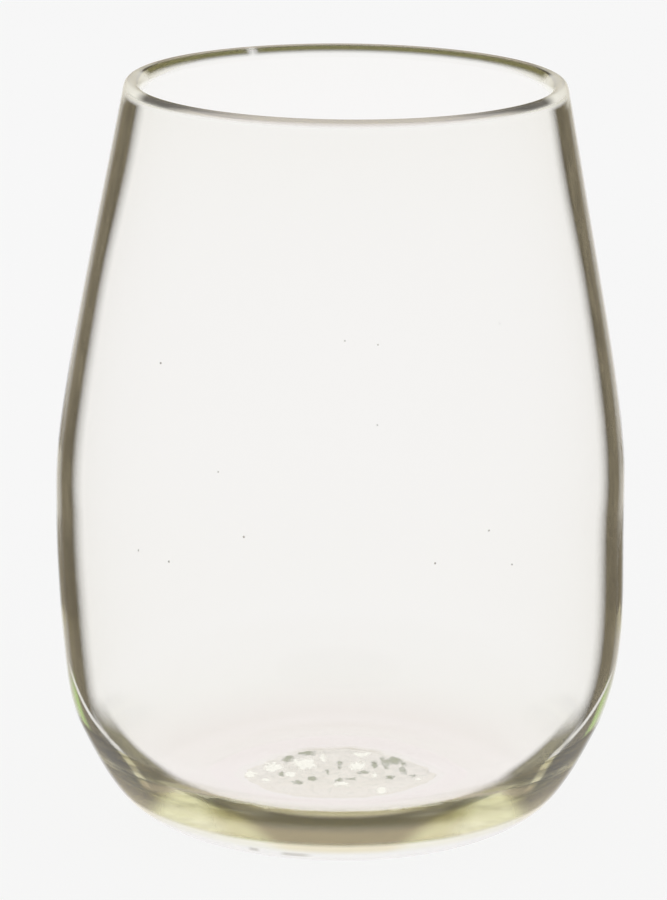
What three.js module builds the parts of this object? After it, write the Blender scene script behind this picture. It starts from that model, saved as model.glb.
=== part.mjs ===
import * as THREE from 'three';

// Driving sizes in mm. The glass turns about +Z and stands on z = 0.
const height = 115.6;
const bellyDiameter = 88.4;
const bellyHeight = 52.6;
const heelDiameter = 82.7;
const heelHeight = 15.8;
const heelLean = 0.44; // outward run per unit of rise where the heel meets the wall
const toeDiameter = 70; // where the foot has turned up into the heel
const toeHeight = 4.4;
const toeSlope = 1.2; // rise per unit of outward run
const footDiameter = 53.8; // outer edge of the standing land
const landWidth = 5; // flat ring that touches the table
const neckDiameter = 69.8;
const neckDrop = 6; // below the crest of the lip
const neckLean = 0.194;
const lipDiameter = 67.9; // outer edge, where the wall turns over into the crown
const lipThickness = 2.95;
const lipTurn = 1.2; // height of that turn
const crestInset = 1.15; // crest of the lip, in from the outer edge
const crownDrop = 2.4; // from the crest down to the inner edge

// Glass thickness and the cavity.
const bellyWall = 1.9;
const neckWall = 2.9;
const throatLean = 0.27; // of the cavity where it thickens towards the lip
const heelWall = 2.3;
const baseThickness = 3.7; // above the seat of the scar
const floorDiameter = 43; // flat middle of the cavity
const cavityLean = 0.47;

// Punt under the base and the broken glass left in it.
const puntDepth = 0.9;
const scarDiameter = 30;
const scarClearance = 0.25; // lowest broken tip above the table
const scarSwing = 0.05; // outline swing, share of the radius
const seatMargin = 1.2;

// Handle lengths of the outline curves, as shares of the run that each curve covers.
const flankPull = 0.45;
const footPull = 0.2;
const toePull = 0.448;
const heelFootPull = 0.209;
const heelPull = 0.47;
const wallHeelPull = 0.19;
const wallBellyPull = 0.435;
const shoulderBellyPull = 0.184;
const shoulderNeckPull = 0.491;
const lipPull = 0.33;
const turnPull = 0.55;
const crownPull = 0.62;
const crownRisePull = 0.4;
const throatPull = 0.316;
const cavityBellyPull = 0.25;
const cavityHeelPull = 0.122;
const cavityDropPull = 0.603;
const floorPull = 0.452;

// Broken face of the scar: waves round the outline, then chips across the lower face. Each wave is its
// lobes or turns per mm along two axes, its phase and its share.
const outlineWaves = [
  [2, 0, 0.6, 0.5],
  [3, 0, 2.1, 0.3],
  [7, 0, 0, 0.2],
];
const chipWaves = [
  [0.62, 0.18, 0.4, 0.5],
  [-0.25, 0.71, 0.7, 0.3],
  [0.33, -0.45, 0, 0.2],
];
const chipShare = 0.3; // of the scar's depth
const scarFlat = 0.8; // share of the radius before the edge rounds off
const scarRound = 0.95;
const scarEdge = 0.35; // height of the upright edge, share of the depth
const scarFace = 0.65; // mean depth of the broken face

// Facets round the axis, and along each run of the sections.
const roundSteps = 48;
const scarSteps = 40;
const flankSteps = 5;
const footSteps = 6;
const heelSteps = 5;
const wallSteps = 7;
const shoulderSteps = 9;
const neckSteps = 2;
const turnSteps = 5;
const crownSteps = 6;
const floorSteps = 11;
const scarFaceSteps = 6;
const scarEdgeSteps = 5;
const straightSteps = 1;

const bellyRadius = bellyDiameter / 2;
const heelRadius = heelDiameter / 2;
const toeRadius = toeDiameter / 2;
const footRadius = footDiameter / 2;
const neckRadius = neckDiameter / 2;
const neckHeight = height - neckDrop;
const floorRadius = floorDiameter / 2;
const scarRadius = scarDiameter / 2;
const seatRadius = scarRadius * (1 + scarSwing) + seatMargin;
const landInner = footRadius - landWidth;

// The lip turns over a crest and slopes down a little into the mouth.
const lipRadius = lipDiameter / 2;
const lipHeight = height - lipTurn;
const crestRadius = lipRadius - crestInset;
const mouthRadius = lipRadius - lipThickness;
const mouthHeight = height - crownDrop;

// The cavity's heel lies square across the wall from the outer heel.
const heelSlant = Math.hypot(1, heelLean);
const cavityHeelRadius = heelRadius - heelWall / heelSlant;
const cavityHeelHeight = heelHeight + (heelWall * heelLean) / heelSlant;
const cavityFloor = puntDepth + baseThickness;

function cubic(a, b, c, d) {
  return new THREE.CubicBezierCurve(
    new THREE.Vector2(...a),
    new THREE.Vector2(...b),
    new THREE.Vector2(...c),
    new THREE.Vector2(...d),
  );
}

function line(a, b) {
  return new THREE.LineCurve(new THREE.Vector2(...a), new THREE.Vector2(...b));
}

// Joins curves end to end into one run of points.
function trace(runs) {
  const points = [];
  for (const [curve, steps] of runs) {
    const run = curve.getPoints(steps);
    if (points.length > 0) {
      run.shift();
    }
    points.push(...run);
  }
  return points;
}

// Turns a half section, given as radius and height, into a solid about +Z.
function turned(points, steps) {
  const geometry = new THREE.LatheGeometry(points, steps);
  geometry.rotateX(Math.PI / 2);
  return geometry;
}

// Seat of the scar, flank of the punt, standing land, foot and heel.
function undersideRuns() {
  const flank = (landInner - seatRadius) * flankPull;
  const footRun = toeRadius - footRadius;
  const toeTurn = Math.atan(toeSlope);
  const toeReach = footRun * toePull;
  const heelRise = heelHeight - toeHeight;
  const heelDrop = heelRise * heelPull;
  const toeRise = heelRise * heelFootPull;
  return [
    [line([0, puntDepth], [seatRadius, puntDepth]), straightSteps],
    [
      cubic(
        [seatRadius, puntDepth],
        [seatRadius + flank, puntDepth],
        [landInner - flank, 0],
        [landInner, 0],
      ),
      flankSteps,
    ],
    [line([landInner, 0], [footRadius, 0]), straightSteps],
    [
      cubic(
        [footRadius, 0],
        [footRadius + footRun * footPull, 0],
        [toeRadius - toeReach * Math.cos(toeTurn), toeHeight - toeReach * Math.sin(toeTurn)],
        [toeRadius, toeHeight],
      ),
      footSteps,
    ],
    [
      cubic(
        [toeRadius, toeHeight],
        [toeRadius + toeRise / toeSlope, toeHeight + toeRise],
        [heelRadius - heelLean * heelDrop, heelHeight - heelDrop],
        [heelRadius, heelHeight],
      ),
      heelSteps,
    ],
  ];
}

// Turn over the outer edge of the lip, then its crown.
function lipRuns() {
  const turnRise = lipTurn * turnPull;
  const turnRun = crestInset * turnPull;
  const crownRun = (crestRadius - mouthRadius) * crownPull;
  const crownRise = crownDrop * crownRisePull;
  return [
    [
      cubic(
        [lipRadius, lipHeight],
        [lipRadius - neckLean * turnRise, lipHeight + turnRise],
        [crestRadius + turnRun, height],
        [crestRadius, height],
      ),
      turnSteps,
    ],
    [
      cubic(
        [crestRadius, height],
        [crestRadius - crownRun, height],
        [mouthRadius - throatLean * crownRise, mouthHeight + crownRise],
        [mouthRadius, mouthHeight],
      ),
      crownSteps,
    ],
  ];
}

function bowlSection() {
  const wallRise = bellyHeight - heelHeight;
  const wallStart = wallRise * wallHeelPull;
  const wallEnd = wallRise * wallBellyPull;
  const shoulderRise = neckHeight - bellyHeight;
  const bellyRun = shoulderRise * shoulderBellyPull;
  const neckRun = shoulderRise * shoulderNeckPull;
  const lipReach = (lipHeight - neckHeight) * lipPull;
  const mouthReach = (mouthHeight - neckHeight) * lipPull;
  const throatRun = shoulderRise * throatPull;
  const cavityRun = shoulderRise * cavityBellyPull;
  const cavityWall = bellyRadius - bellyWall;
  const cavityNeck = neckRadius - neckWall;
  const cavityStart = wallRise * cavityHeelPull;
  const cavityDrop = (cavityHeelHeight - cavityFloor) * cavityDropPull;
  const floorReach = (cavityHeelRadius - floorRadius) * floorPull;

  return trace([
    ...undersideRuns(),
    // outside, from the heel to the lip
    [
      cubic(
        [heelRadius, heelHeight],
        [heelRadius + heelLean * wallStart, heelHeight + wallStart],
        [bellyRadius, bellyHeight - wallEnd],
        [bellyRadius, bellyHeight],
      ),
      wallSteps,
    ],
    [
      cubic(
        [bellyRadius, bellyHeight],
        [bellyRadius, bellyHeight + bellyRun],
        [neckRadius + neckLean * neckRun, neckHeight - neckRun],
        [neckRadius, neckHeight],
      ),
      shoulderSteps,
    ],
    [
      cubic(
        [neckRadius, neckHeight],
        [neckRadius - neckLean * lipReach, neckHeight + lipReach],
        [lipRadius + neckLean * lipReach, lipHeight - lipReach],
        [lipRadius, lipHeight],
      ),
      neckSteps,
    ],
    ...lipRuns(),
    // inside, from the lip to the middle of the floor
    [
      cubic(
        [mouthRadius, mouthHeight],
        [mouthRadius + throatLean * mouthReach, mouthHeight - mouthReach],
        [cavityNeck - throatLean * mouthReach, neckHeight + mouthReach],
        [cavityNeck, neckHeight],
      ),
      neckSteps,
    ],
    [
      cubic(
        [cavityNeck, neckHeight],
        [cavityNeck + throatLean * throatRun, neckHeight - throatRun],
        [cavityWall, bellyHeight + cavityRun],
        [cavityWall, bellyHeight],
      ),
      shoulderSteps,
    ],
    [
      cubic(
        [cavityWall, bellyHeight],
        [cavityWall, bellyHeight - wallEnd],
        [cavityHeelRadius + cavityLean * cavityStart, cavityHeelHeight + cavityStart],
        [cavityHeelRadius, cavityHeelHeight],
      ),
      wallSteps,
    ],
    [
      cubic(
        [cavityHeelRadius, cavityHeelHeight],
        [cavityHeelRadius - cavityLean * cavityDrop, cavityHeelHeight - cavityDrop],
        [floorRadius + floorReach, cavityFloor],
        [floorRadius, cavityFloor],
      ),
      floorSteps,
    ],
    [line([floorRadius, cavityFloor], [0, cavityFloor]), straightSteps],
  ]);
}

// Adds up waves, each a turn along X and Y, a phase and a share.
function waveSum(waves, x, y) {
  let sum = 0;
  for (const [alongX, alongY, phase, share] of waves) {
    sum += share * Math.sin(alongX * x + alongY * y + phase);
  }
  return sum;
}

// A lens of broken glass with a flat top, an uneven outline and a chipped lower face.
function scarGeometry() {
  const depth = puntDepth - scarClearance;
  const face = puntDepth - depth * scarFace;
  const edge = puntDepth - depth * scarEdge;
  const flat = scarRadius * scarFlat;
  const section = trace([
    [line([0, face], [flat, face]), scarFaceSteps],
    [
      cubic(
        [flat, face],
        [scarRadius * scarRound, face],
        [scarRadius, face],
        [scarRadius, edge],
      ),
      scarEdgeSteps,
    ],
    [line([scarRadius, edge], [scarRadius, puntDepth]), straightSteps],
    [line([scarRadius, puntDepth], [0, puntDepth]), straightSteps],
  ]);
  const geometry = turned(section, scarSteps);
  const place = geometry.attributes.position;
  for (let i = 0; i < place.count; i += 1) {
    const x = place.getX(i);
    const y = place.getY(i);
    const z = place.getZ(i);
    const turn = Math.atan2(y, x);
    const out = Math.hypot(x, y) / scarRadius;
    const grow = 1 + scarSwing * waveSum(outlineWaves, turn, 0) * out * out;
    const below = (puntDepth - z) / (depth * scarFace);
    const lift = waveSum(chipWaves, x, y) * chipShare * depth * below;
    place.setXYZ(i, x * grow, y * grow, z + lift);
  }
  geometry.computeVertexNormals();
  return geometry;
}

function piece(name, geometry, look) {
  const mesh = new THREE.Mesh(geometry, new THREE.MeshStandardMaterial(look));
  mesh.name = name;
  return mesh;
}

const part = new THREE.Group();
part.name = 'tumbler';
const bowlLook = { color: 0xe9ecd9, roughness: 0.03, metalness: 0 };
const scarLook = { color: 0xdfe3c4, roughness: 0.25, metalness: 0 };
part.add(piece('blown_bowl', turned(bowlSection(), roundSteps), bowlLook));
part.add(piece('pontil_scar', scarGeometry(), scarLook));

export default part;
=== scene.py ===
import math

import bmesh
import bpy
from mathutils import Matrix, Vector, noise
from mathutils.geometry import interpolate_bezier


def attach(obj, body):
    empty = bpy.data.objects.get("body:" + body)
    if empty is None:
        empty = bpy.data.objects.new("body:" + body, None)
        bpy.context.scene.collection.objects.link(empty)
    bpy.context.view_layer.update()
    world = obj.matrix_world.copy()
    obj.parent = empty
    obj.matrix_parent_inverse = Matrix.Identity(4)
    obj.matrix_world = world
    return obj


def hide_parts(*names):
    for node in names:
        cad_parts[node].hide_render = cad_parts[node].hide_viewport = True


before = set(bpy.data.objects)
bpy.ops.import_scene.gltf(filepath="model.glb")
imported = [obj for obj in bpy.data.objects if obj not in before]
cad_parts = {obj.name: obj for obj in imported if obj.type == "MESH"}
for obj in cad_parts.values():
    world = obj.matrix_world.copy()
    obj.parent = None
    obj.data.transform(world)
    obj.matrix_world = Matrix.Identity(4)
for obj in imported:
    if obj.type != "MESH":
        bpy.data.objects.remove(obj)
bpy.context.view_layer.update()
scene = bpy.context.scene
scene.view_settings.view_transform = "Standard"
scene.cycles.max_bounces = 40  # light runs round inside the heavy base
scene.cycles.glossy_bounces = 32
scene.cycles.transmission_bounces = 32
mm = 0.001
weld = 0.005 * mm


def newObject(name, bm, material):
    mesh = bpy.data.meshes.new(name)
    bm.to_mesh(mesh)
    bm.free()
    mesh.shade_smooth()
    obj = bpy.data.objects.new(name, mesh)
    scene.collection.objects.link(obj)
    mesh.materials.append(material)
    return obj


def turnSection(bm, section, turns):
    edges = [bm.edges.new(pair) for pair in zip(section, section[1:])]
    bmesh.ops.spin(bm, geom=section + edges, cent=(0, 0, 0), axis=(0, 0, 1), angle=2 * math.pi,
                   steps=turns, use_merge=True)
    bmesh.ops.remove_doubles(bm, verts=bm.verts, dist=weld)
    bmesh.ops.recalc_face_normals(bm, faces=bm.faces)


def ease(value, low, high):
    t = min(1.0, max(0.0, (value - low) / (high - low)))
    return t * t * (3 - 2 * t)


def fall(value, low, high):
    return 1 - ease(value, low, high)


def noisePlace(x, y, scale):
    return Vector((x * scale[0], y * scale[1], scale[2]))


# camera, set where the photograph was taken from
view = {
    "target": Vector((0.0, 0.0, 58.1 * mm)),
    "elevation": math.radians(14.935),
    "distance": 670.67 * mm,
    "focalPixels": 4318.4,  # in a frame 900 pixels tall
    "frameHeight": 900,
    "sensorHeight": 36.0,
    "clipStart": 0.01,
    "offset": (8.10, 4.48),  # target from the frame's centre, right and up
    "roll": math.radians(0.5),
}


def makeCamera():
    data = bpy.data.cameras.new("photoCamera")
    data.sensor_fit = "VERTICAL"
    data.sensor_height = view["sensorHeight"]
    data.lens = view["focalPixels"] * data.sensor_height / view["frameHeight"]
    data.shift_x = -view["offset"][0] / view["frameHeight"]
    data.shift_y = -view["offset"][1] / view["frameHeight"]
    data.clip_start = view["clipStart"]
    obj = bpy.data.objects.new("photoCamera", data)
    scene.collection.objects.link(obj)
    away = Vector((0.0, -math.cos(view["elevation"]), math.sin(view["elevation"])))
    turn = Matrix.Rotation(math.pi / 2 - view["elevation"], 4, "X")
    roll = Matrix.Rotation(view["roll"], 4, "Z")
    obj.matrix_world = Matrix.Translation(view["target"] + away * view["distance"]) @ turn @ roll
    scene.camera = obj


makeCamera()
print("camera set")


# shader nodes
def mathNode(tree, operation, a, b=None):
    node = tree.nodes.new("ShaderNodeMath")
    node.operation = operation
    for socket, value in zip(node.inputs, (a, b)):
        if isinstance(value, (int, float)):
            socket.default_value = value
        elif value is not None:
            tree.links.new(value, socket)
    return node.outputs[0]


def restNode(tree, value):
    return mathNode(tree, "SUBTRACT", 1.0, value)


def productNode(tree, first, *others):
    for other in others:
        first = mathNode(tree, "MULTIPLY", first, other)
    return first


def mostNode(tree, first, *others):
    for other in others:
        first = mathNode(tree, "MAXIMUM", first, other)
    return first


def easeNode(tree, value, low, high, start=0.0, end=1.0):
    node = tree.nodes.new("ShaderNodeMapRange")
    node.interpolation_type = "SMOOTHSTEP"
    tree.links.new(value, node.inputs["Value"])
    node.inputs["From Min"].default_value = low
    node.inputs["From Max"].default_value = high
    node.inputs["To Min"].default_value = start
    node.inputs["To Max"].default_value = end
    return node.outputs["Result"]


def riseNode(tree, value, low, high, most):
    return easeNode(tree, value, low, high, 0.0, most)


def fallNode(tree, value, low, high, most=1.0):
    return easeNode(tree, value, low, high, most, 0.0)


def windowNode(tree, value, a, b, c, d):
    return mathNode(tree, "MULTIPLY", easeNode(tree, value, a, b), fallNode(tree, value, c, d))


def leanNode(tree, value, high, turn, lean):
    rise = mathNode(tree, "SUBTRACT", high, turn)
    return mathNode(tree, "ADD", value, mathNode(tree, "MULTIPLY", rise, lean))


def blendNode(tree, factor, a, b):
    node = tree.nodes.new("ShaderNodeMix")
    node.data_type = "RGBA"
    tree.links.new(factor, node.inputs["Factor"])
    for socket, value in ((node.inputs["A"], a), (node.inputs["B"], b)):
        if isinstance(value, float):
            socket.default_value = (value, value, value, 1)
        elif isinstance(value, tuple):
            socket.default_value = (*value, 1)
        else:
            tree.links.new(value, socket)
    return node.outputs["Result"]


def lengthNode(tree, vector):
    node = tree.nodes.new("ShaderNodeVectorMath")
    node.operation = "LENGTH"
    tree.links.new(vector, node.inputs[0])
    return node.outputs["Value"]


def noiseNode(tree, vector, scale):
    node = tree.nodes.new("ShaderNodeTexNoise")
    node.inputs["Scale"].default_value = scale
    tree.links.new(vector, node.inputs["Vector"])
    return node.outputs["Fac"]


def layerNode(tree, name):
    node = tree.nodes.new("ShaderNodeAttribute")
    node.attribute_name = name
    return node.outputs["Fac"]


# glass, faintly olive, as recycled batches come out. Heights are in metres. A facing of 0 is seen face on
# and 1 edge on, and aside runs from 0 at the front and back to 1 at the left and right.
# most colours below are painted light and shade on the bowl's skin, not the glass's own tint
glassLook = {
    "ior": 1.5,
    "roughness": 0.0,
    "tint": (0.75, 0.71, 0.40),  # what the depth of glass lets through
    "depth": 20.0,
    "shade": (0.94, 0.94, 0.91),  # light that reaches the table through it
    "facingBlend": 0.5,
    "frontFade": (-8.0 * mm, 2.0 * mm),  # along Y, where the front half ends

    "edge": (0.0085, 0.0064, 0.0030),  # painted shade on the outside seen edge on
    "edgeLow": (0.0130, 0.0098, 0.0046),  # painted edge shade below the belly
    "edgeTurn": (42.0 * mm, 66.0 * mm),
    "edgeFacing": (0.57, 0.68),
    "edgeReach": (32.4 * mm, 33.2 * mm),  # not inside the lip
    "edgeLight": (0.028, 0.0215, 0.010),  # in its paler streaks
    "streaks": (0.35, 0.75),
    "streakScale": (0.5, 0.5, 0.16),  # drawn out along the height
    "streakSize": 900.0,
    "ripple": 0.06,
    "rippleDepth": 0.1 * mm,
    "neckRise": (86.0 * mm, 108.0 * mm, 0.045),  # the edge broadens under the lip
    "lipFade": (113.7 * mm, 114.6 * mm, 1.0, 0.1),
    "lipEntry": (97.0 * mm, 104.0 * mm),  # above here on the near skin only
    "footFade": (4.0 * mm, 15.0 * mm),
    "rimFacing": (0.78, 0.93, 1.0, 0.25),  # lightens again at the very outline
    "rimRise": (15.0 * mm, 19.0 * mm),  # but not round the heel

    "glow": (0.36, 0.60, 0.12),  # painted glow: green light held above the heel
    "glowShare": 0.75,
    "glowFacing": (0.76, 0.81),
    "glowHeight": (16.6 * mm, 17.6 * mm, 21.0 * mm, 26.0 * mm),

    "heel": (0.165, 0.128, 0.050),  # painted shade: the brown band of the heavy heel
    "heelFall": (9.5 * mm, 11.5 * mm),
    "heelPale": (0.62, 0.60, 0.24),  # painted light: two paler patches to the left and right
    "paleNear": (0.29, 0.43),
    "nearLean": (8.5 * mm, -22.0),  # broader towards the foot
    "paleFar": (0.63, 0.74),
    "farLean": (10.6 * mm, 18.0),  # and leaning on the far side
    "paleFade": (14.0 * mm, 18.0 * mm),
    "paleLift": 2.0 * mm,  # the patches reach higher
    "heelBright": (0.94, 0.93, 0.58),  # painted light, brightest away from the front
    "brightNear": (0.42, 0.56),
    "brightShare": 0.5,
    "drawn": (5.0, 520.0, 7.0),  # streaks of the painted shade drawn round the heel: along it, up it, slanted
    "drawnShare": (0.42, 0.72, 0.26),
    "cream": (0.93, 0.86, 0.66),  # painted light, cream, where the foot turns up
    "creamPale": (0.97, 0.96, 0.86),
    "creamRise": (2.8 * mm, 4.4 * mm),
    "creamFall": (4.6 * mm, 6.0 * mm),

    "inner": (0.088, 0.077, 0.038),  # painted shade, dark along the edge of the cavity
    "innerCurve": (9.0 * mm, 16.0 * mm, 0.33, 0.57),  # height to facing, along the band
    "innerTop": (16.0 * mm, 26.0 * mm, 0.10),
    "innerWidth": (-0.10, -0.04, 0.06, 0.09),
    "innerSide": (0.30, 0.60, 0.04),  # broader to the left and right
    "innerPale": (0.22, 0.42, 0.5),  # less of it above the paler painted patches
    "innerHeight": (7.4 * mm, 9.0 * mm, 19.0 * mm, 25.0 * mm),
    "fillWidth": (-0.04, 0.0, 0.30, 0.36),  # on to the outer band, in the corners
    "fillSide": (0.60, 0.66),
    "fillHeight": (8.5 * mm, 13.5 * mm, 16.0 * mm, 19.0 * mm),

    "line": 0.62,  # a painted highlight: a bright line between the painted dark bands
    "lineWidth": (-0.030, -0.008, 0.008, 0.030),
    "lineTurn": 17.4 * mm,
    "lineLean": 28.0,
    "lineHeight": (8.5 * mm, 10.0 * mm, 24.0 * mm, 27.0 * mm),
    "lineShare": 0.85,

    "toeShades": [  # painted contact shadow, brown, under the toe: along X and height, with soft ends
        ((-9.2 * mm, -7.8 * mm, -5.6 * mm, -3.4 * mm), (2.0 * mm, 2.5 * mm, 2.8 * mm, 3.4 * mm)),
        ((-13.9 * mm, -13.0 * mm, -12.5 * mm, -11.6 * mm), (2.2 * mm, 2.7 * mm, 3.0 * mm, 3.6 * mm)),
    ],
    "toeShadeShare": 0.4,
    "wornRise": (0.3 * mm, 1.2 * mm, 0.4, 1.0),  # rough round the foot
    "wornFall": (1.0 * mm, 9.0 * mm, 0.22),
    "paleFootFall": (4.6 * mm, 6.2 * mm, 0.85),  # made dull low on the foot, so the painted pale and cream light there shows
    "throatRise": (106.0 * mm, 111.0 * mm, 0.06),  # softened by the flame

    "crown": (0.045, 0.042, 0.010),  # painted shade, olive, on the lip's crown, for light that runs down inside the wall from the lip
    "crownFacing": (0.84, 0.95, 1.0, 0.35),
    "crownEnds": (0.955, 0.99),
    "brow": (0.66, 0.60, 0.54),  # painted highlight on the fire-polished edge
    "browDark": (0.030, 0.027, 0.020),  # painted shade, thick in the front left and right
    "browSide": (0.25, 0.80),
    "browFacing": (0.20, 0.45),
    "browEnd": (0.96, 0.95, 0.87),  # painted highlight, pale, at the far left and right
    "browEnds": (0.88, 0.94),
    "browShare": 0.7,
    "browMost": 0.9,
}


def makeGlass(name, look):
    mat = bpy.data.materials.new(name)
    mat.use_nodes = True
    nodes = mat.node_tree.nodes
    links = mat.node_tree.links
    nodes.clear()
    out = nodes.new("ShaderNodeOutputMaterial")
    body = nodes.new("ShaderNodeBsdfPrincipled")
    body.inputs["Base Color"].default_value = (1, 1, 1, 1)
    body.inputs["Roughness"].default_value = look["roughness"]
    body.inputs["IOR"].default_value = look["ior"]
    body.inputs["Transmission Weight"].default_value = 1.0
    through = nodes.new("ShaderNodeBsdfTransparent")
    through.inputs["Color"].default_value = (*look["shade"], 1)
    path = nodes.new("ShaderNodeLightPath")
    mix = nodes.new("ShaderNodeMixShader")
    links.new(path.outputs["Is Shadow Ray"], mix.inputs["Fac"])
    links.new(body.outputs["BSDF"], mix.inputs[1])
    links.new(through.outputs["BSDF"], mix.inputs[2])
    links.new(mix.outputs["Shader"], out.inputs["Surface"])
    soak = nodes.new("ShaderNodeVolumeAbsorption")
    soak.inputs["Color"].default_value = (*look["tint"], 1)
    soak.inputs["Density"].default_value = look["depth"]
    links.new(soak.outputs["Volume"], out.inputs["Volume"])
    return mat


# what the bowl's painted light and shade are placed by
def skinPlaces(tree, look):
    nodes = tree.nodes
    links = tree.links
    facing = nodes.new("ShaderNodeLayerWeight")
    facing.inputs["Blend"].default_value = look["facingBlend"]
    coord = nodes.new("ShaderNodeTexCoord")
    split = nodes.new("ShaderNodeSeparateXYZ")
    links.new(coord.outputs["Object"], split.inputs[0])
    flat = nodes.new("ShaderNodeCombineXYZ")
    links.new(split.outputs["X"], flat.inputs["X"])
    links.new(split.outputs["Y"], flat.inputs["Y"])
    reach = lengthNode(tree, flat.outputs[0])
    aside = mathNode(tree, "DIVIDE", mathNode(tree, "ABSOLUTE", split.outputs["X"]), reach)
    high = split.outputs["Z"]
    nearSide = leanNode(tree, aside, high, *look["nearLean"])
    farSide = fallNode(tree, leanNode(tree, aside, high, *look["farLean"]), *look["paleFar"])
    pale = mathNode(tree, "MULTIPLY", easeNode(tree, nearSide, *look["paleNear"]), farSide)
    low = fallNode(tree, high, *look["paleFade"])
    return {
        "object": coord.outputs["Object"],
        "x": split.outputs["X"],
        "high": high,
        "reach": reach,
        "aside": aside,
        "side": facing.outputs["Facing"],
        "outside": layerNode(tree, "skin"),
        "entry": restNode(tree, nodes.new("ShaderNodeNewGeometry").outputs["Backfacing"]),
        "before": fallNode(tree, split.outputs["Y"], *look["frontFade"]),
        "farSide": farSide,
        "pale": pale,
        "dark": restNode(tree, mathNode(tree, "MULTIPLY", pale, low)),
    }


def cordNoise(tree, look, at):
    stretch = tree.nodes.new("ShaderNodeMapping")
    stretch.inputs["Scale"].default_value = look["streakScale"]
    tree.links.new(at["object"], stretch.inputs["Vector"])
    return noiseNode(tree, stretch.outputs["Vector"], look["streakSize"])


# a painted highlight, cleared out of the painted shade
def brightLine(tree, look, at):
    rise = mathNode(tree, "MAXIMUM", mathNode(tree, "SUBTRACT", at["high"], look["lineTurn"]), 0.0)
    place = mathNode(tree, "ADD", mathNode(tree, "MULTIPLY", rise, look["lineLean"]), look["line"])
    off = mathNode(tree, "SUBTRACT", at["side"], place)
    return productNode(tree, windowNode(tree, off, *look["lineWidth"]),
                       windowNode(tree, at["high"], *look["lineHeight"]), at["dark"], look["lineShare"])


# paints shade along the glass's outline, and a green glow above the heel
def wallEdge(tree, look, at, cords):
    broad = mathNode(tree, "ADD", at["side"], riseNode(tree, at["high"], *look["neckRise"]))
    rim = mostNode(tree, easeNode(tree, at["side"], *look["rimFacing"]),
                   fallNode(tree, at["high"], *look["rimRise"]))
    entered = mostNode(tree, at["entry"], fallNode(tree, at["high"], *look["lipEntry"]))
    share = productNode(tree, easeNode(tree, broad, *look["edgeFacing"]), rim, entered,
                        at["outside"], at["dark"], easeNode(tree, at["high"], *look["footFade"]),
                        easeNode(tree, at["high"], *look["lipFade"]),
                        easeNode(tree, at["reach"], *look["edgeReach"]))
    # where the painted green glow lies
    held = mathNode(tree, "MULTIPLY", windowNode(tree, at["high"], *look["glowHeight"]),
                    easeNode(tree, at["side"], *look["glowFacing"]))
    colour = blendNode(tree, easeNode(tree, at["high"], *look["edgeTurn"]), look["edgeLow"], look["edge"])
    colour = blendNode(tree, easeNode(tree, cords, *look["streaks"]), colour, look["edgeLight"])
    colour = blendNode(tree, held, colour, look["glow"])
    lit = productNode(tree, held, at["entry"], look["glowShare"])
    return share, colour, lit


# paints shade and light on the heel: a brown band with paler and brighter patches, and cream low on the foot
def heelBand(tree, look, at):
    bright = mathNode(tree, "MULTIPLY", at["pale"], easeNode(tree, at["aside"], *look["brightNear"]))
    colour = blendNode(tree, at["pale"], look["heel"], look["heelPale"])
    colour = blendNode(tree, bright, colour, look["heelBright"])
    along, upward, slant = look["drawn"]
    place = tree.nodes.new("ShaderNodeCombineXYZ")
    tree.links.new(mathNode(tree, "MULTIPLY", at["aside"], along), place.inputs["X"])
    tree.links.new(mathNode(tree, "ADD", mathNode(tree, "MULTIPLY", at["high"], upward),
                            mathNode(tree, "MULTIPLY", at["aside"], slant)), place.inputs["Y"])
    drawn = noiseNode(tree, place.outputs[0], 1.0)
    colour = blendNode(tree, riseNode(tree, drawn, *look["drawnShare"]), colour, look["heel"])
    cream = blendNode(tree, at["pale"], look["cream"], look["creamPale"])
    colour = blendNode(tree, easeNode(tree, at["high"], *look["creamFall"]), cream, colour)
    lifted = mathNode(tree, "SUBTRACT", at["high"], mathNode(tree, "MULTIPLY", at["pale"], look["paleLift"]))
    share = productNode(tree, easeNode(tree, at["high"], *look["creamRise"]),
                        fallNode(tree, lifted, *look["heelFall"]), at["outside"], at["entry"])
    brightDull = productNode(tree, bright, share, look["brightShare"])
    return share, colour, brightDull


# paints shade along the edge of the cavity
def cavityEdge(tree, look, at):
    curve = mathNode(tree, "ADD", easeNode(tree, at["high"], *look["innerCurve"]),
                     riseNode(tree, at["high"], *look["innerTop"]))
    curve = mathNode(tree, "SUBTRACT", curve, riseNode(tree, at["aside"], *look["innerSide"]))
    off = mathNode(tree, "SUBTRACT", at["side"], curve)
    clearer = mathNode(tree, "MULTIPLY", riseNode(tree, at["aside"], *look["innerPale"]), at["farSide"])
    band = productNode(tree, windowNode(tree, off, *look["innerWidth"]),
                       windowNode(tree, at["high"], *look["innerHeight"]), restNode(tree, clearer))
    fill = productNode(tree, windowNode(tree, off, *look["fillWidth"]),
                       windowNode(tree, at["high"], *look["fillHeight"]),
                       easeNode(tree, at["aside"], *look["fillSide"]), at["dark"])
    return productNode(tree, mostNode(tree, band, fill), at["outside"], at["entry"])


# paints shade on the lip's crown, and highlight and shade on its brow
def lipLight(tree, look, at):
    crown = productNode(tree, layerNode(tree, "crown"), at["entry"],
                        easeNode(tree, at["side"], *look["crownFacing"]),
                        fallNode(tree, at["aside"], *look["crownEnds"]))
    heavy = productNode(tree, easeNode(tree, at["aside"], *look["browSide"]), at["before"],
                        easeNode(tree, at["side"], *look["browFacing"]))
    more = mathNode(tree, "MULTIPLY", heavy, look["browMost"] - look["browShare"])
    browPaint = productNode(tree, layerNode(tree, "brow"), at["entry"],
                         mathNode(tree, "ADD", look["browShare"], more))
    colour = blendNode(tree, heavy, look["brow"], look["browDark"])
    colour = blendNode(tree, easeNode(tree, at["aside"], *look["browEnds"]), colour, look["browEnd"])
    return crown, browPaint, colour


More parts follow.
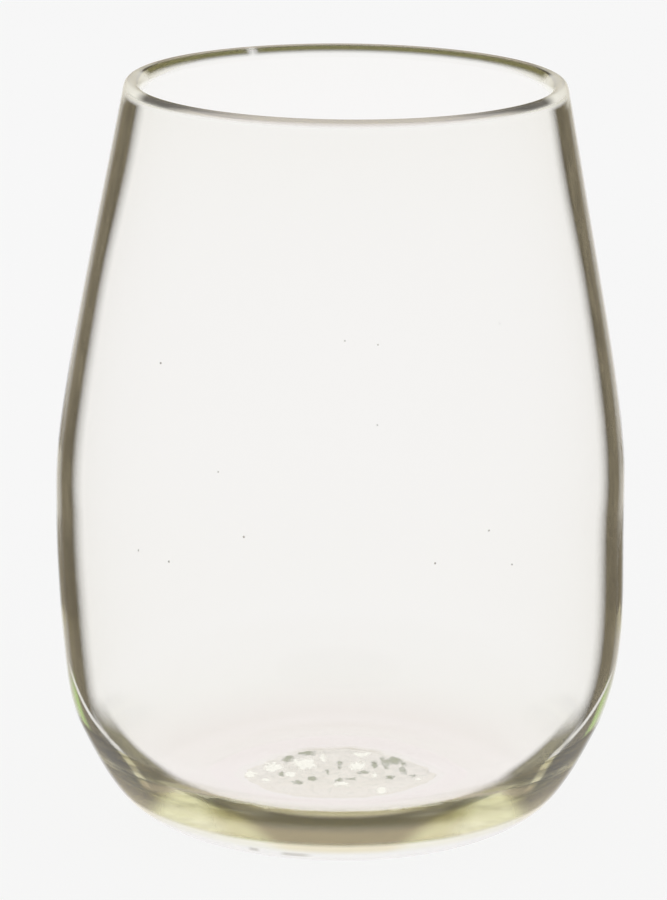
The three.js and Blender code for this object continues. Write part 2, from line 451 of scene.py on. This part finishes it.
def addSkin(mat, look):
    tree = mat.node_tree
    links = tree.links
    body = tree.nodes["Principled BSDF"]
    at = skinPlaces(tree, look)
    cords = cordNoise(tree, look, at)
    unlined = restNode(tree, brightLine(tree, look, at))
    edge, edgeColour, lit = wallEdge(tree, look, at, cords)
    edge = mathNode(tree, "MULTIPLY", edge, unlined)
    inner = mathNode(tree, "MULTIPLY", cavityEdge(tree, look, at), unlined)
    heel, heelColour, brightDull = heelBand(tree, look, at)
    crown, browPaint, browPaintColour = lipLight(tree, look, at)
    # the skin's colour: painted light and shade laid over clear glass
    tint = blendNode(tree, heel, (1.0, 1.0, 1.0), heelColour)
    # painted contact shadow under the toe
    for across, upward in look["toeShades"]:
        mark = productNode(tree, windowNode(tree, at["x"], *across), windowNode(tree, at["high"], *upward),
                           at["before"], at["outside"], at["entry"], look["toeShadeShare"])
        tint = blendNode(tree, mark, tint, look["heel"])
    layers = ((inner, look["inner"]), (edge, edgeColour), (crown, look["crown"]), (browPaint, browPaintColour))
    for share, colour in layers:
        tint = blendNode(tree, share, tint, colour)
    links.new(tint, body.inputs["Base Color"])
    ripple = tree.nodes.new("ShaderNodeBump")
    ripple.inputs["Strength"].default_value = look["ripple"]
    ripple.inputs["Distance"].default_value = look["rippleDepth"]
    links.new(cords, ripple.inputs["Height"])
    links.new(ripple.outputs["Normal"], body.inputs["Normal"])
    foot = productNode(tree, easeNode(tree, at["high"], *look["wornRise"]),
                       fallNode(tree, at["high"], *look["wornFall"]), at["outside"])
    throat = mathNode(tree, "MULTIPLY", riseNode(tree, at["high"], *look["throatRise"]),
                      restNode(tree, at["outside"]))
    links.new(mathNode(tree, "ADD", foot, throat), body.inputs["Roughness"])
    # the foot made dull where its painted pale light lies
    paleFoot = productNode(tree, fallNode(tree, at["high"], *look["paleFootFall"]), at["outside"], at["entry"])
    # painted light, glow and highlights made dull, so they show lit
    dull = mostNode(tree, paleFoot, mathNode(tree, "MULTIPLY", lit, edge), browPaint, brightDull)
    links.new(restNode(tree, dull), body.inputs["Transmission Weight"])


bowlGlass = makeGlass("olive_blown_glass", glassLook)
addSkin(bowlGlass, glassLook)


# the blown bowl, in millimetres. A pull is how far a curve holds its direction at its two ends.
bowlForm = {
    "height": 115.6,
    "bellyRadius": 44.2,
    "bellyHeight": 52.6,
    "heel": (41.35, 15.8),
    "heelLean": 0.44,
    "toe": (34.99, 4.4),  # where the foot turns up into the heel
    "toeSlope": 1.2,
    "footRadius": 21.0,  # the underside rises slowly from here
    "neck": (34.9, 109.6),
    "neckLean": 0.194,
    "lipEdge": (33.95, 114.4),  # where the outside turns over into the crown
    "crest": 32.8,
    "lipInner": (31.0, 113.2),
    "bellyWall": 1.9,
    "neckWall": 2.9,
    "throatLean": 0.27,
    "heelWall": 2.31,
    "floorHeight": 4.55,
    "floorRadius": 30.0,
    "floorRise": 2.1,
    "floorPower": 8.5,
    "cavityLean": 0.47,
    "toePull": (0.209, 0.47),
    "wallPull": (0.19, 0.435),
    "shoulderPull": (0.184, 0.491),
    "edgePull": 0.33,
    "turnPull": 0.55,
    "crownPull": (0.62, 0.40),
    "throatPull": 0.33,
    "insidePull": (0.316, 0.25),
    "cavityPull": (0.435, 0.122),
    "floorPull": (4.6, 3.9),
    "turns": 180,
    "footSteps": 28,
    "floorSteps": 40,

    "puntDepth": 0.22,  # a shallow pit, broken out round the pontil mark
    "puntRadius": 15.6,
    "puntStep": 0.035,  # at its edge
    "puntEdge": 1.0,
    "puntRings": (0.0, 3.0, 6.0, 9.0, 12.0),
    "edgeSteps": 6,
    "outerRings": (17.0, 18.5),
    "puntFront": (-14, 6),  # shallower at the front
    "puntLeast": 0.14,
    "puntSides": (6, 13),  # and at the left and right
    "sideLoss": 0.8,
    "ragged": (0.75, 0.5),
    "raggedScale": (0.3, 0.3, 7),
    "markRadius": 15.0,
    "swing": 0.055,  # of the mark's outline
    "swingWaves": [(2, 0.6, 0.5), (3, 2.1, 0.3)],  # times round, phase, share
    "swingNoise": (5, 0.9),
    "swingFade": (1.05, 1.3),  # out from the mark's radius
    "puntReach": 1.15,
    "underside": 0.5,  # below this height

    "lipFrom": 112.0,
    "crownOutside": (114.7, 115.4),  # heights where the lip's painted shade and highlight set in
    "crownLittle": 0.12,
    "crownInside": (114.2, 114.9),
    "browOutside": (114.5, 115.0),
    "browInside": (115.4, 115.55),
    "browEnds": (0.965, 0.985),  # the painted highlight reaches lower down at the far left and right
    "endsRise": (112.9, 113.9),
    "crownShadeGap": 118.0,  # a gap in the crown's painted shade, at the back left
    "crownShadeGapShare": 0.6,

    "sway": [(0, -0.1), (14, -0.1), (27, 0.3), (48, -0.14), (80, 0.0), (116, 0.2)],  # height, sideways
    "wander": 0.07,
    "wanderScale": (0.045, 0.03),  # sideways, along the height
    "wanderApart": 20,  # the two skins wander on their own
    "wanderRise": (6, 24),
    "seeds": [  # bubbles in the wall: degrees from the front, height, radius
        (-19.0, 55.1, 0.17), (18.5, 51.4, 0.16), (30.0, 55.4, 0.14), (-25.0, 64.2, 0.12), (-35.5, 49.6, 0.16),
        (35.5, 49.6, 0.13), (7.5, 83.6, 0.12), (0.5, 84.2, 0.11), (-41.5, 78.4, 0.16), (110.0, 40.0, 0.16),
        (141.0, 71.0, 0.13), (-128.0, 33.0, 0.17), (-98.0, 62.0, 0.12), (172.0, 50.0, 0.14), (76.0, 90.0, 0.12),
    ],
}


def puntHeight(r):
    f = bowlForm
    edge = fall(r, f["puntRadius"] - f["puntEdge"], f["puntRadius"] + f["puntEdge"])
    return f["puntStep"] * edge + (f["puntDepth"] - f["puntStep"]) * max(0.0, 1 - (r / f["puntRadius"]) ** 2)


def puntShare(x, y):
    f = bowlForm
    mean, change = f["ragged"]
    ragged = min(1.0, mean + change * noise.noise(noisePlace(x, y, f["raggedScale"])))
    front = f["puntLeast"] + (1 - f["puntLeast"]) * ease(y, *f["puntFront"])
    return front * (1 - f["sideLoss"] * ease(abs(x), *f["puntSides"])) * ragged


def outlineSwing(turn):
    scale, share = bowlForm["swingNoise"]
    swing = share * noise.noise(Vector((math.cos(turn), math.sin(turn), 0)) * scale)
    for times, phase, part in bowlForm["swingWaves"]:
        swing += part * math.sin(times * turn + phase)
    return bowlForm["swing"] * swing


def curveRun(a, b, c, d, steps):
    run = interpolate_bezier(Vector((*a, 0)), Vector((*b, 0)), Vector((*c, 0)), Vector((*d, 0)), steps + 1)
    return [(p.x, p.y) for p in run]


def outsideRuns(f):
    heelR, heelZ = f["heel"]
    neckR, neckZ = f["neck"]
    toeR, toeZ = f["toe"]
    edgeR, edgeZ = f["lipEdge"]
    lipR, lipZ = f["lipInner"]
    bellyR, bellyZ = f["bellyRadius"], f["bellyHeight"]
    footRun = toeR - f["footRadius"]
    footPower = f["toeSlope"] * footRun / toeZ
    footShares = [i / f["footSteps"] for i in range(f["footSteps"] + 1)]
    edgeRings = [f["puntRadius"] + f["puntEdge"] * i / f["edgeSteps"]
                 for i in range(-f["edgeSteps"], f["edgeSteps"] + 1)]
    toeRun, heelRun = [(heelZ - toeZ) * pull for pull in f["toePull"]]
    wallRun, hipRun = [(bellyZ - heelZ) * pull for pull in f["wallPull"]]
    bellyRun, neckRun = [(neckZ - bellyZ) * pull for pull in f["shoulderPull"]]
    edgeRun = (edgeZ - neckZ) * f["edgePull"]
    turnUp = (f["height"] - edgeZ) * f["turnPull"]
    turnOver = (edgeR - f["crest"]) * f["turnPull"]
    crownRun = (f["crest"] - lipR) * f["crownPull"][0]
    crownDrop = (f["height"] - lipZ) * f["crownPull"][1]
    return [
        [(r, puntHeight(r)) for r in (*f["puntRings"], *edgeRings, *f["outerRings"], f["footRadius"])],
        [(f["footRadius"] + footRun * share, toeZ * share ** footPower) for share in footShares],
        curveRun((toeR, toeZ), (toeR + toeRun / f["toeSlope"], toeZ + toeRun),
                 (heelR - f["heelLean"] * heelRun, heelZ - heelRun), (heelR, heelZ), steps=16),
        curveRun((heelR, heelZ), (heelR + f["heelLean"] * wallRun, heelZ + wallRun),
                 (bellyR, bellyZ - hipRun), (bellyR, bellyZ), steps=20),
        curveRun((bellyR, bellyZ), (bellyR, bellyZ + bellyRun),
                 (neckR + f["neckLean"] * neckRun, neckZ - neckRun), (neckR, neckZ), steps=24),
        curveRun((neckR, neckZ), (neckR - f["neckLean"] * edgeRun, neckZ + edgeRun),
                 (edgeR + f["neckLean"] * edgeRun, edgeZ - edgeRun), (edgeR, edgeZ), steps=6),
        curveRun((edgeR, edgeZ), (edgeR - f["neckLean"] * turnUp, edgeZ + turnUp),
                 (f["crest"] + turnOver, f["height"]), (f["crest"], f["height"]), steps=8),
        curveRun((f["crest"], f["height"]), (f["crest"] - crownRun, f["height"]),
                 (lipR - f["throatLean"] * crownDrop, lipZ + crownDrop), (lipR, lipZ), steps=14),
    ]


def insideRuns(f):
    heelR, heelZ = f["heel"]
    neckR, neckZ = f["neck"]
    lipR, lipZ = f["lipInner"]
    bellyZ = f["bellyHeight"]
    slant = math.hypot(1, f["heelLean"])
    caveR = heelR - f["heelWall"] / slant
    caveZ = heelZ + f["heelWall"] * f["heelLean"] / slant
    inBelly = f["bellyRadius"] - f["bellyWall"]
    inNeck = neckR - f["neckWall"]
    floorTop = f["floorHeight"] + f["floorRise"]
    floorSlope = f["floorRise"] * f["floorPower"] / f["floorRadius"]
    floorShares = [1 - i / f["floorSteps"] for i in range(f["floorSteps"] + 1)]
    throat = (lipZ - neckZ) * f["throatPull"]
    neckRun, bellyRun = [(neckZ - bellyZ) * pull for pull in f["insidePull"]]
    hipRun, caveRun = [(bellyZ - heelZ) * pull for pull in f["cavityPull"]]
    cornerRun, floorRun = f["floorPull"]
    return [
        curveRun((lipR, lipZ), (lipR + f["throatLean"] * throat, lipZ - throat),
                 (inNeck - f["throatLean"] * throat, neckZ + throat), (inNeck, neckZ), steps=8),
        curveRun((inNeck, neckZ), (inNeck + f["throatLean"] * neckRun, neckZ - neckRun),
                 (inBelly, bellyZ + bellyRun), (inBelly, bellyZ), steps=24),
        curveRun((inBelly, bellyZ), (inBelly, bellyZ - hipRun),
                 (caveR + f["cavityLean"] * caveRun, caveZ + caveRun), (caveR, caveZ), steps=20),
        curveRun((caveR, caveZ), (caveR - f["cavityLean"] * cornerRun, caveZ - cornerRun),
                 (f["floorRadius"] + floorRun, floorTop + floorSlope * floorRun), (f["floorRadius"], floorTop),
                 steps=20),
        [(f["floorRadius"] * share, f["floorHeight"] + f["floorRise"] * share ** f["floorPower"])
         for share in floorShares],
    ]


def bowlSection(f):
    points = [(0.0, f["puntDepth"], 1.0)]
    for runs, skin in ((outsideRuns(f), 1.0), (insideRuns(f), 0.0)):
        for run in runs:
            points += [(r, z, skin) for r, z in run[1:]]
    return points


# where the crown's painted shade lies
def crownShare(r, z):
    if r > bowlForm["crest"]:
        return bowlForm["crownLittle"] * ease(z, *bowlForm["crownOutside"])
    return ease(z, *bowlForm["crownInside"])


# where the brow's painted highlight lies
def browShare(r, z):
    if r > bowlForm["crest"]:
        return ease(z, *bowlForm["browOutside"])
    return ease(z, *bowlForm["browInside"])


def swayAt(z):
    for (low, a), (high, b) in zip(bowlForm["sway"], bowlForm["sway"][1:]):
        if z <= high:
            return a + (b - a) * ease(z, low, high)
    return bowlForm["sway"][-1][1]


def wanderAt(x, y, z, skin):
    flat, tall = bowlForm["wanderScale"]
    spot = Vector((x * flat, y * flat, z * tall + bowlForm["wanderApart"] * skin))
    return bowlForm["wander"] * noise.noise(spot) * ease(z, *bowlForm["wanderRise"])


def outsideRadius(z):
    run = [(r, h) for r, h, skin in bowlSection(bowlForm) if skin > 0.5]
    for (ra, za), (rb, zb) in zip(run, run[1:]):
        if za <= z < zb:
            return ra + (rb - ra) * (z - za) / (zb - za)


def addSeeds(bm):
    for turn, z, radius in bowlForm["seeds"]:
        deep = outsideRadius(z) - bowlForm["bellyWall"] / 2
        angle = math.radians(turn)
        place = Matrix.Translation(Vector((deep * math.sin(angle), -deep * math.cos(angle), z)) * mm)
        seed = bmesh.ops.create_icosphere(bm, subdivisions=2, radius=radius * mm, matrix=place)
        skins = {face for vert in seed["verts"] for face in vert.link_faces}
        bmesh.ops.reverse_faces(bm, faces=list(skins))


def makeBowl():
    f = bowlForm
    bm = bmesh.new()
    skinLayer = bm.verts.layers.float.new("skin")
    crownLayer = bm.verts.layers.float.new("crown")
    browLayer = bm.verts.layers.float.new("brow")
    section = []
    for r, z, skin in bowlSection(f):
        vert = bm.verts.new((r * mm, 0, z * mm))
        vert[skinLayer] = skin
        vert[crownLayer] = crownShare(r, z)
        vert[browLayer] = browShare(r, z)
        section.append(vert)
    turnSection(bm, section, f["turns"])
    for vert in bm.verts:
        x, y, z = vert.co / mm
        away = math.hypot(x, y)
        if z > f["lipFrom"]:
            ends = ease(abs(x) / away, *f["browEnds"]) * ease(z, *f["endsRise"])
            vert[browLayer] = max(vert[browLayer], ends)
            # a gap in the crown's painted shade
            crownShadeGap = math.degrees(math.atan2(y, x)) - f["crownShadeGap"]
            vert[crownLayer] *= 1 - f["crownShadeGapShare"] * math.exp(-crownShadeGap ** 2)
        if away > 1:
            vert.co.xy *= 1 + wanderAt(x, y, z, vert[skinLayer]) / away
        vert.co.x += swayAt(z) * mm
        if vert[skinLayer] > 0.5 and vert.co.z < f["underside"] * mm:
            out = math.hypot(vert.co.x, vert.co.y) / (f["markRadius"] * mm)
            reach = min(out, 1.0) ** 2 * fall(out, *f["swingFade"])
            vert.co.xy *= 1 + outlineSwing(math.atan2(vert.co.y, vert.co.x)) * reach
            if out < f["puntReach"]:
                vert.co.z *= puntShare(vert.co.x / mm, vert.co.y / mm)
    addSeeds(bm)
    obj = newObject("glass_bowl", bm, bowlGlass)
    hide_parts("blown_bowl")
    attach(obj, "root")
    obj.visible_diffuse = False  # its shadow comes from shadow rays alone


makeBowl()
print("bowl blown")


# the pontil mark
scarLook = {
    **glassLook,
    "roughness": 0.08,
    "clear": (0.925, 0.915, 0.85),
    "thin": (0.985, 0.98, 0.965),  # towards its outline
    "breakShade": (0.05, 0.07, 0.015),  # painted shade, dark green, in the pits
    # the white of the painted glints
    "glintWhite": (0.98, 0.98, 0.97),
    "glintFrost": 0.9,  # the painted glints on splinters are dull
    "glint": 0.14,  # and glow faintly, a painted glint
}


def addBreaks(mat, look):
    tree = mat.node_tree
    links = tree.links
    body = tree.nodes["Principled BSDF"]
    glintFrost = layerNode(tree, "glintFrost")
    tint = blendNode(tree, layerNode(tree, "thin"), look["clear"], look["thin"])
    tint = blendNode(tree, layerNode(tree, "breakShade"), tint, look["breakShade"])
    links.new(blendNode(tree, glintFrost, tint, look["glintWhite"]), body.inputs["Base Color"])
    # a painted glow on the glints
    body.inputs["Emission Color"].default_value = (1, 1, 1, 1)
    links.new(mathNode(tree, "MULTIPLY", glintFrost, look["glint"]), body.inputs["Emission Strength"])
    dull = mathNode(tree, "MULTIPLY", glintFrost, look["glintFrost"])
    links.new(restNode(tree, dull), body.inputs["Transmission Weight"])


scarGlass = makeGlass("broken_pontil_glass", scarLook)
addBreaks(scarGlass, scarLook)

scarForm = {  # in millimetres, out is 1 at the outline
    "face": 0.11,  # mean height of the broken face
    "low": 0.01,  # its least height
    "gap": 0.015,  # below the pit in the base
    "cap": 0.015,  # least height of the top, over the face
    "sunk": 0.1,  # into the base, so the two read as one mass
    "sunkBack": (-14, 6),  # less so at the front
    "holdPower": 6,  # the face runs out into the pit near the outline
    "rings": 60,
    "capRings": 8,
    "turns": 200,
    "rimFrom": 0.999,
    "roughBack": (-6.0, -1.0),  # chipped behind this line, smooth before it
    "roughSwing": (0.25, 3),
    "facets": (0.33, 0.05, 0.02),  # scale, height, drop
    "grain": (1.1, 0.012),  # scale, height
    "grainShift": Vector((5, 2, 0)),
    "swell": (0.2, 0.03),
    "spotSquash": 0.4,
    "spotGrain": [(0.8, 0.55), (2.1, 0.5)],  # scale, share
    "spotEdge": (0.0, 0.5),
    "pluckEdge": (0.0, 0.6),
    "brim": 0.3,  # painted shade: a broken dark line inside the far outline
    "brimOut": (0.84, 0.93),
    "brimEnd": (0.95, 1.0),
    "brimBack": (2, 7),
    "brimBreaks": (4, -0.3, 0.2),
    "mottle": 0.2,
    "mottleScale": (0.8, 0.25, 3),
    "mottleFrom": (0.0, 0.5),
    "mottleBack": (-9, 0),
    "crackShade": 0.2,
    "crackScale": (0.55, 0.2, 1),
    "crackWidth": (0.02, 0.3),
    "crackBack": (-8, 0),
    "crackEnd": (0.8, 0.95),
    "glintSpecks": 0.2,
    "speckScale": (1.1, 0.4, 9),
    "speckFrom": (0.15, 0.5),
    "speckEnd": (0.85, 0.98),
    "thinOut": (0.45, 0.92),
    "thinSwing": (3, 0.2),
    "plucks": [  # deeper pits with painted dark green shade: place, half sizes, depth
        (7.4, 9.0, 0.9, 3.4, 0.10),
        (9.0, 10.2, 1.5, 2.2, 0.10),
        (10.3, 6.4, 0.7, 4.2, 0.10),
        (5.7, 8.6, 0.5, 2.0, 0.06),
        (3.9, 4.4, 1.3, 1.5, 0.06),
        (2.0, -0.6, 1.0, 1.8, 0.06),
        (0.0, -1.8, 0.9, 2.2, 0.05),
        (8.1, 0.0, 0.9, 1.9, 0.06),
        (11.9, 1.4, 0.8, 1.6, 0.04),
        (-4.0, -0.6, 1.2, 2.6, 0.06),
        (-6.4, -4.4, 1.0, 2.4, 0.06),
        (-9.0, 2.4, 0.6, 2.8, 0.04),
        (-8.0, 10.8, 1.0, 2.6, 0.06),
        (-5.0, 13.4, 1.7, 1.4, 0.06),
        (0.2, 8.6, 0.5, 2.8, 0.04),
        (-1.6, 4.6, 0.4, 2.0, 0.04),
    ],
    "chips": [  # painted glints on splinters: place, half sizes
        (-5.4, 8.6, 2.2, 3.4),
        (-10.4, 6.4, 1.9, 3.2),
        (-13.9, 0.6, 1.2, 3.6),
        (-7.6, 2.6, 1.0, 3.4),
        (3.0, 7.4, 1.3, 3.2),
        (0.5, -4.8, 1.2, 3.0),
        (6.8, -9.6, 0.9, 2.4),
        (3.6, 13.0, 1.9, 1.4),
        (-2.6, 11.4, 0.7, 2.2),
        (12.6, -1.8, 0.6, 1.4),
        (5.6, 2.2, 0.5, 2.6),
        (-11.4, -3.6, 0.7, 2.2),
    ],
}


def nearSpot(x, y, spot):
    flat = Vector((x, y * scarForm["spotSquash"], 0))
    grain = sum(share * noise.noise(flat * scale) for scale, share in scarForm["spotGrain"])
    return max(0.0, 1 - math.hypot((x - spot[0]) / spot[2], (y - spot[1]) / spot[3]) + grain)


def nearest(x, y, spots):
    return max(ease(nearSpot(x, y, spot), *scarForm["spotEdge"]) for spot in spots)


def scarRelief(x, y):
    f = scarForm
    flat = Vector((x, y, 0))
    scale, reach = f["roughSwing"]
    rough = ease(y + reach * noise.noise(flat * scale), *f["roughBack"])
    scale, height, drop = f["facets"]
    near, far = noise.voronoi(flat * scale)[0][:2]
    rise = (far - near) * height - drop
    scale, height = f["grain"]
    rise += noise.noise(flat * scale + f["grainShift"]) * height
    scale, height = f["swell"]
    rise = rise * rough + noise.noise(flat * scale) * height
    for spot in f["plucks"]:
        rise += spot[4] * ease(nearSpot(x, y, spot), *f["pluckEdge"])
    return rise


# painted shade on the broken face: along its far outline, in mottles and cracks, and in the pits
def breakShadeAt(x, y, out, ring):
    f = scarForm
    scale, low, high = f["brimBreaks"]
    brim = f["brim"] * ease(out, *f["brimOut"]) * fall(out, *f["brimEnd"]) * ease(y, *f["brimBack"])
    brim *= ease(noise.noise(ring * scale), low, high)
    mottle = f["mottle"] * ease(noise.noise(noisePlace(x, y, f["mottleScale"])), *f["mottleFrom"])
    mottle *= ease(y, *f["mottleBack"])
    near, far = noise.voronoi(noisePlace(x, y, f["crackScale"]))[0][:2]
    crackShade = f["crackShade"] * fall(far - near, *f["crackWidth"]) * ease(y, *f["crackBack"])
    crackShade *= fall(out, *f["crackEnd"])
    return min(1.0, brim + max(mottle, crackShade) + nearest(x, y, f["plucks"]))


# painted glints on splinters and specks
def glintAt(x, y, out):
    f = scarForm
    glintSpecks = f["glintSpecks"] * ease(noise.noise(noisePlace(x, y, f["speckScale"])), *f["speckFrom"])
    return max(glintSpecks * fall(out, *f["speckEnd"]), nearest(x, y, f["chips"]))


def makeScar():
    f = scarForm
    radius = bowlForm["markRadius"]
    bm = bmesh.new()
    breakShade = bm.verts.layers.float.new("breakShade")
    glintFrost = bm.verts.layers.float.new("glintFrost")
    thin = bm.verts.layers.float.new("thin")
    face = [(radius * i / f["rings"], 0.0) for i in range(f["rings"] + 1)]
    cap = [(radius * (1 - i / f["capRings"]), 1.0) for i in range(f["capRings"] + 1)]
    section = [bm.verts.new((r * mm, 0, z * mm)) for r, z in face + cap]
    turnSection(bm, section, f["turns"])
    rim = set()
    for vert in bm.verts:
        x, y, z = vert.co / mm
        out = math.hypot(x, y) / radius
        turn = math.atan2(y, x)
        grow = 1 + outlineSwing(turn) * out ** 2
        x, y = x * grow, y * grow
        share = puntShare(x, y)
        dish = puntHeight(radius * out) * share
        hold = 1 - out ** f["holdPower"]
        if z > 0.5:
            level = max(f["cap"], dish + f["sunk"] * hold * ease(y, *f["sunkBack"]))
        else:
            top = max(f["low"], dish - f["gap"])
            broken = max(f["low"], min(top, f["face"] * share + scarRelief(x, y)))
            level = broken * hold + top * (1 - hold)
            ring = Vector((math.cos(turn), math.sin(turn), 0))
            scale, swing = f["thinSwing"]
            vert[thin] = ease(out + swing * noise.noise(ring * scale), *f["thinOut"])
            vert[breakShade] = breakShadeAt(x, y, out, ring)
            vert[glintFrost] = glintAt(x, y, out)
        if out > f["rimFrom"]:
            rim.add(vert)
        vert.co = Vector((x, y, level)) * mm
    for edge in bm.edges:
        edge.smooth = not rim.issuperset(edge.verts)
    obj = newObject("pontil_mark", bm, scarGlass)
    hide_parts("pontil_scar")
    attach(obj, "root")
    obj.visible_diffuse = False


makeScar()
print("pontil mark broken off")


# stage. Bounds in the world are parts of a direction: X to the side, Y to the back, Z up.
stageLook = {
    "pale": 0.93,  # linear value of the backdrop
    "behind": (0.950, 0.945, 0.955),  # seen through the glass, level and below
    "ceiling": (0.78, 0.74, 0.67),  # seen through the glass, overhead
    "ceilingRise": (0.25, 0.65),
    "mirrored": (0.42, 0.36, 0.25),  # mirrored in the glass, level and above
    "mirroredRise": (-0.12, 0.02),
    "flagFront": (0.0, 0.3),  # dark flags to the front and sides, mirrored too
    "flagSides": (0.16, 0.34),
    "flagRise": (-0.75, -0.30),
    "worldLight": 1.0,
    "tableSize": 6.0,
    "paper": (0.922, 0.938),
    "paperScale": 40.0,
    "contactShade": (0.985, 0.943, 0.962),  # painted contact shadow on the table close under the glass, seen through it
    "underReach": (24 * mm, 50 * mm),
}


def makeFloor():
    bm = bmesh.new()
    bmesh.ops.create_grid(bm, x_segments=1, y_segments=1, size=stageLook["tableSize"])
    mat = bpy.data.materials.new("pale_table")
    mat.use_nodes = True
    tree = mat.node_tree
    nodes = tree.nodes
    links = tree.links
    body = nodes["Principled BSDF"]
    paper = nodes.new("ShaderNodeTexNoise")
    paper.inputs["Scale"].default_value = stageLook["paperScale"]
    links.new(blendNode(tree, paper.outputs["Fac"], *stageLook["paper"]), body.inputs["Base Color"])
    body.inputs["Roughness"].default_value = 1.0
    body.inputs["Specular IOR Level"].default_value = 0.0
    clear = nodes.new("ShaderNodeBsdfTransparent")
    coord = nodes.new("ShaderNodeTexCoord")
    # a painted contact shadow close under the glass, for rays through it
    away = easeNode(tree, lengthNode(tree, coord.outputs["Object"]), *stageLook["underReach"])
    links.new(blendNode(tree, away, stageLook["contactShade"], 1.0), clear.inputs["Color"])
    path = nodes.new("ShaderNodeLightPath")
    mix = nodes.new("ShaderNodeMixShader")
    links.new(path.outputs["Is Glossy Ray"], mix.inputs["Fac"])
    links.new(body.outputs["BSDF"], mix.inputs[1])
    links.new(clear.outputs["BSDF"], mix.inputs[2])
    links.new(mix.outputs["Shader"], nodes["Material Output"].inputs["Surface"])
    obj = newObject("table", bm, mat)


def makeWorld():
    world = bpy.data.worlds.new("studio")
    scene.world = world
    world.use_nodes = True
    tree = world.node_tree
    nodes = tree.nodes
    links = tree.links
    nodes.clear()
    out = nodes.new("ShaderNodeOutputWorld")
    coord = nodes.new("ShaderNodeTexCoord")
    split = nodes.new("ShaderNodeSeparateXYZ")
    links.new(coord.outputs["Generated"], split.inputs[0])
    high = split.outputs["Z"]
    aside = mathNode(tree, "ABSOLUTE", split.outputs["X"])
    around = mostNode(tree, easeNode(tree, aside, *stageLook["flagSides"]),
                      fallNode(tree, split.outputs["Y"], *stageLook["flagFront"]))
    flags = mathNode(tree, "MULTIPLY", around, easeNode(tree, high, *stageLook["flagRise"]))
    dim = mostNode(tree, flags, easeNode(tree, high, *stageLook["mirroredRise"]))
    mirrored = blendNode(tree, dim, stageLook["pale"], stageLook["mirrored"])
    over = easeNode(tree, high, *stageLook["ceilingRise"])
    through = blendNode(tree, over, stageLook["behind"], stageLook["ceiling"])
    path = nodes.new("ShaderNodeLightPath")
    level = blendNode(tree, path.outputs["Is Camera Ray"], stageLook["worldLight"], stageLook["pale"])
    level = blendNode(tree, path.outputs["Is Glossy Ray"], level, mirrored)
    level = blendNode(tree, path.outputs["Is Transmission Ray"], level, through)
    lit = mathNode(tree, "MINIMUM", path.outputs["Diffuse Depth"], 1.0)  # light on its way to the table
    level = blendNode(tree, lit, level, stageLook["worldLight"])
    back = nodes.new("ShaderNodeBackground")
    links.new(level, back.inputs["Color"])
    links.new(back.outputs["Background"], out.inputs["Surface"])


makeFloor()
makeWorld()
print("studio set")
